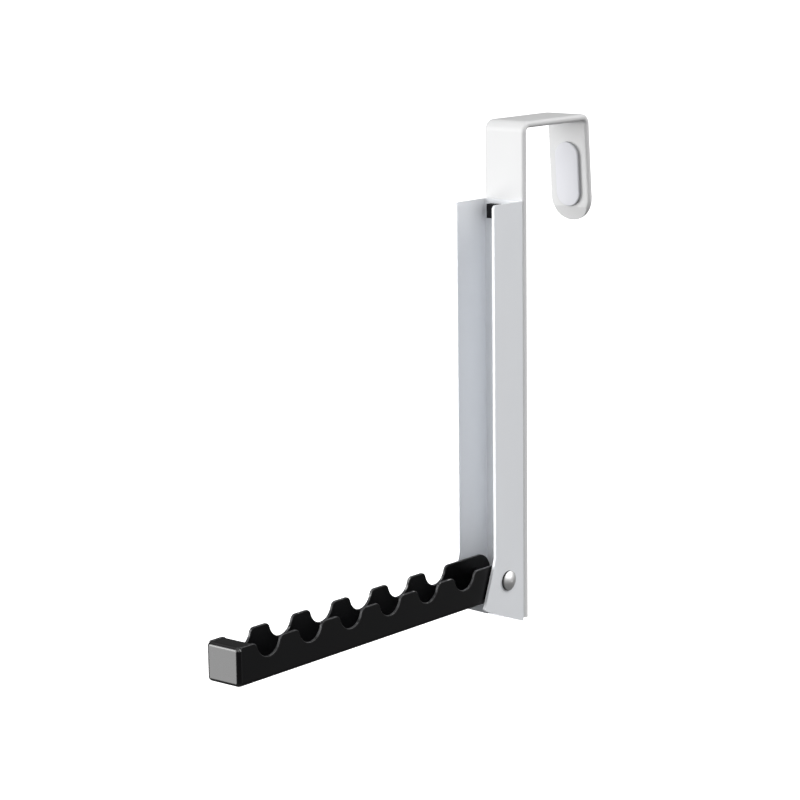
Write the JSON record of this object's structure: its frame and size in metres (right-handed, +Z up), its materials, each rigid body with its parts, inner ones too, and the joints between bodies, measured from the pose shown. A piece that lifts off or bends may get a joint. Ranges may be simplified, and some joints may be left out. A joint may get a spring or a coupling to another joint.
{
  "type": "over door hook",
  "caption": "Slim hanger that hooks over the top of a door, with a notched arm that folds out of its channel to hold clothes hangers.",
  "frame": {"origin": "middle of the strap's underside, on the face that sits on the top of the door", "axes": "+Z up, +X to the right seen from the room, +Y from the room through the door; the open arm points to -Y"},
  "size_m": [0.03, 0.2754, 0.2584],
  "materials": {
    "strap_paint": "smooth satin white coating",
    "channel_paint": "satin silver grey coating",
    "arm_paint": "satin black coating",
    "cap_plastic": "glossy moulded black",
    "pad_rubber": "matt pale grey",
    "catch_rubber": "matt black",
    "rivet_steel": "plain turned steel",
    "washer_plastic": "matt black"
  },
  "bodies": {
    "bracket": {"hanger_strap": "strap_paint", "door_pad": "pad_rubber", "channel": "channel_paint", "catch_block": "catch_rubber", "pivot_rivet": "rivet_steel", "spacer_washer_left": "washer_plastic", "spacer_washer_right": "washer_plastic", "web_rivet_lower": "rivet_steel", "web_rivet_upper": "rivet_steel"},
    "arm": {"arm": "arm_paint", "end_cap": "cap_plastic"}
  },
  "joints": [
    {"name": "arm_fold", "type": "hinge", "parent": "bracket", "child": "arm", "pos_m": [0, -0.0428, -0.2305], "axis": [-1, 0, 0], "range_deg": [0, 90]}
  ]
}
